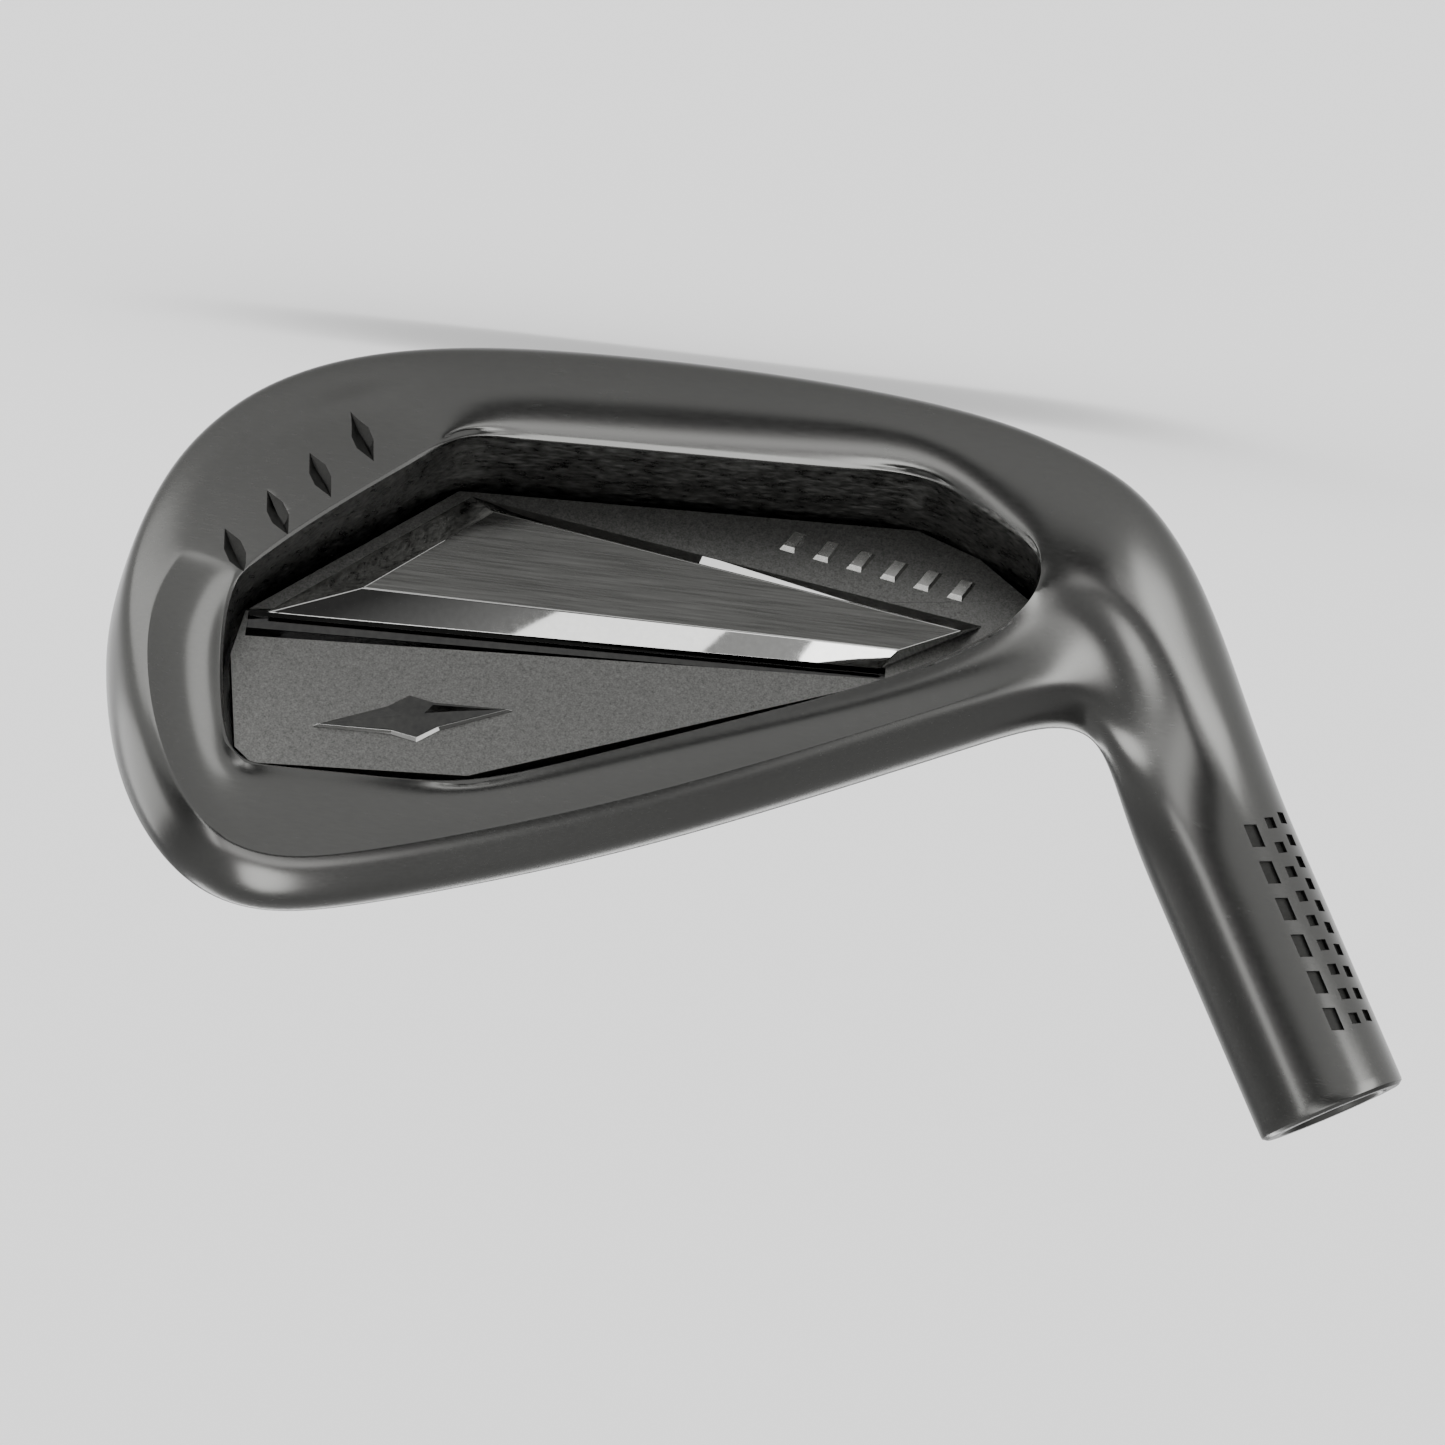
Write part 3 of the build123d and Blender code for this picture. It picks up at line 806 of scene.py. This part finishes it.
# ---- camera -------------------------------------------------------------
VIEW_WIDTH = 126.532                    # millimetres across the picture at the head
SENSOR = 36.0
elevation, roll, distance = radians(6.3), radians(187.0), 1.14
target = upright(57.5, -8.0, 31.0) * MM
back = Vector((0, -cos(elevation), sin(elevation)))
up = back.cross(X_AXIS)
turn = Matrix((X_AXIS, up, back)).transposed() @ Matrix.Rotation(roll, 3, "Z")
camera_data = bpy.data.cameras.new("camera")
camera_data.sensor_width = SENSOR
camera_data.lens = SENSOR * distance / (VIEW_WIDTH * MM)
camera_data.clip_end = 20
camera = bpy.data.objects.new("camera", camera_data)
camera.matrix_world = Matrix.Translation(target + back * distance) @ turn.to_4x4()
bpy.context.scene.collection.objects.link(camera)
bpy.context.scene.camera = camera


# ---- floor and light ----------------------------------------------------
FLOOR_REACH, FLOOR_TONE = 4000, 0.80
floor_mesh = bmesh.new()
bmesh.ops.create_grid(floor_mesh, x_segments=1, y_segments=1, size=FLOOR_REACH)
bmesh.ops.translate(floor_mesh, vec=(50, 0, -MOUTH_HEIGHT), verts=floor_mesh.verts)
floor = new_object("floor", floor_mesh)
plain = bpy.data.materials.new("pale_floor")
plain.use_nodes = True
plain_shader = plain.node_tree.nodes["Principled BSDF"]
plain_shader.inputs["Base Color"].default_value = (FLOOR_TONE, FLOOR_TONE, FLOOR_TONE, 1)
plain_shader.inputs["Roughness"].default_value = 0.9
floor.data.materials.append(plain)

world = bpy.data.worlds.new("studio")
world.use_nodes = True
sky = world.node_tree
direction = node(sky, "ShaderNodeTexCoord")
parts = node(sky, "ShaderNodeSeparateXYZ")
sky.links.new(direction.outputs["Generated"], parts.inputs[0])


def ramp(value, shades):
    """Grey tones against a value from 0 to 1."""
    item = node(sky, "ShaderNodeValToRGB")
    while len(item.color_ramp.elements) < len(shades):
        item.color_ramp.elements.new(1.0)
    for element, (place, tone) in zip(item.color_ramp.elements, shades):
        element.position = place
        element.color = (tone, tone, tone, 1)
    sky.links.new(value, item.inputs["Fac"])
    return item.outputs["Color"]


# Tones by the height of a direction; the sky is dark low down only on the camera's side.
LOW_SIDE_SHADES = (0.0, 0.05), (0.16, 0.09), (0.40, 0.65), (0.70, 0.95), (1.0, 0.85)
PALE_SIDE_SHADES = (0.0, 1.0), (0.10, 1.0), (0.30, 0.30), (0.70, 0.95), (1.0, 0.85)
by_height = ramp(parts.outputs["Z"], LOW_SIDE_SHADES)
pale_side = ramp(parts.outputs["Z"], PALE_SIDE_SHADES)
SIDE_TURN = -0.45, -0.15                # Y of a direction where one gives way to the other
away = ranged(sky, parts.outputs["Y"], 0.0, 1.0, *SIDE_TURN)
sky.links.new(mixed(sky, away, by_height, pale_side), sky.nodes["Background"].inputs["Color"])
sky.nodes["Background"].inputs["Strength"].default_value = 1.0
bpy.context.scene.world = world


def aimed(item, place, aim):
    """Put a light at a place in metres, pointing at another."""
    item.location = place
    item.rotation_euler = (Vector(aim) - Vector(place)).to_track_quat("-Z", "Y").to_euler()
    item.visible_camera = False
    bpy.context.scene.collection.objects.link(item)


def group(name, *items):
    """Collection that a light can be kept to."""
    collection = bpy.data.collections.new(name)
    for item in items:
        collection.objects.link(item)
    return collection


def softbox(name, place, aim, size, radiance, lit):
    """Rectangular soft light of a given brightness for a group of pieces."""
    data = bpy.data.lights.new(name, "AREA")
    data.shape = "RECTANGLE"
    data.size, data.size_y = size
    data.energy = radiance * pi * size[0] * size[1]
    item = bpy.data.objects.new(name, data)
    aimed(item, place, aim)
    item.light_linking.receiver_collection = lit


def sun(name, come_from, strength, degrees, lit):
    """Broad even light from a direction for a group of pieces."""
    data = bpy.data.lights.new(name, "SUN")
    data.energy = strength
    data.angle = radians(degrees)
    item = bpy.data.objects.new(name, data)
    aimed(item, come_from, (0, 0, 0))
    item.light_linking.receiver_collection = lit
    return item


club_only = group("club_only", forged, plate, wedge, emblem, bars)
wedge_only = group("wedge_only", wedge)
floor_only = group("floor_only", floor)
# Suns: where they come from, strength, and degrees across.
wash = sun("floor_wash", (0, -0.5, 1.0), 3.6, 60, floor_only)
wash.light_linking.blocker_collection = floor_only
sun("floor_key", (0, -1.0, 0.9), 1.3, 70, floor_only)
sun("high_key", (0, -0.53, 1.0), 2.0, 30, club_only)

CLUB, HOSEL, HEEL, LOW_TOE = (0.05, -0.01, -0.03), (0, 0, -0.005), (0, 0, -0.01), (0.110, -0.02, -0.02)
# Place and target, width and height in metres, and radiance.
SOFTBOXES = {
    "toe_side": ((0.75, 0.25, 0.10), CLUB, (0.55, 0.30), 4.0),
    "over_front": ((0.05, 0.85, 0.65), CLUB, (1.2, 0.22), 8.0),
    "over_back": ((0.05, -0.90, 0.47), CLUB, (1.0, 0.28), 4.5),
    "hosel_strip": ((0.50, -0.55, 0.20), (0, 0, 0), (0.08, 0.40), 9.5),
    "heel_low": ((-0.090, -0.055, -0.052), HOSEL, (0.06, 0.14), 8.0),
    "toe_low": ((0.126, -0.042, -0.054), LOW_TOE, (0.05, 0.055), 3.4),
    "heel_side": ((-0.60, -0.45, 0.12), HEEL, (0.40, 0.30), 2.6),
}
for name, settings in SOFTBOXES.items():
    softbox(name, *settings, club_only)
GLINT_SIZE, GLINT_RADIANCE = (0.020, 0.0022), 2.6
glint = on_face(51, 19.6, 7.0)
softbox("wedge_glint", glint * MM, (glint + BEHIND * 10) * MM, GLINT_SIZE, GLINT_RADIANCE, wedge_only)
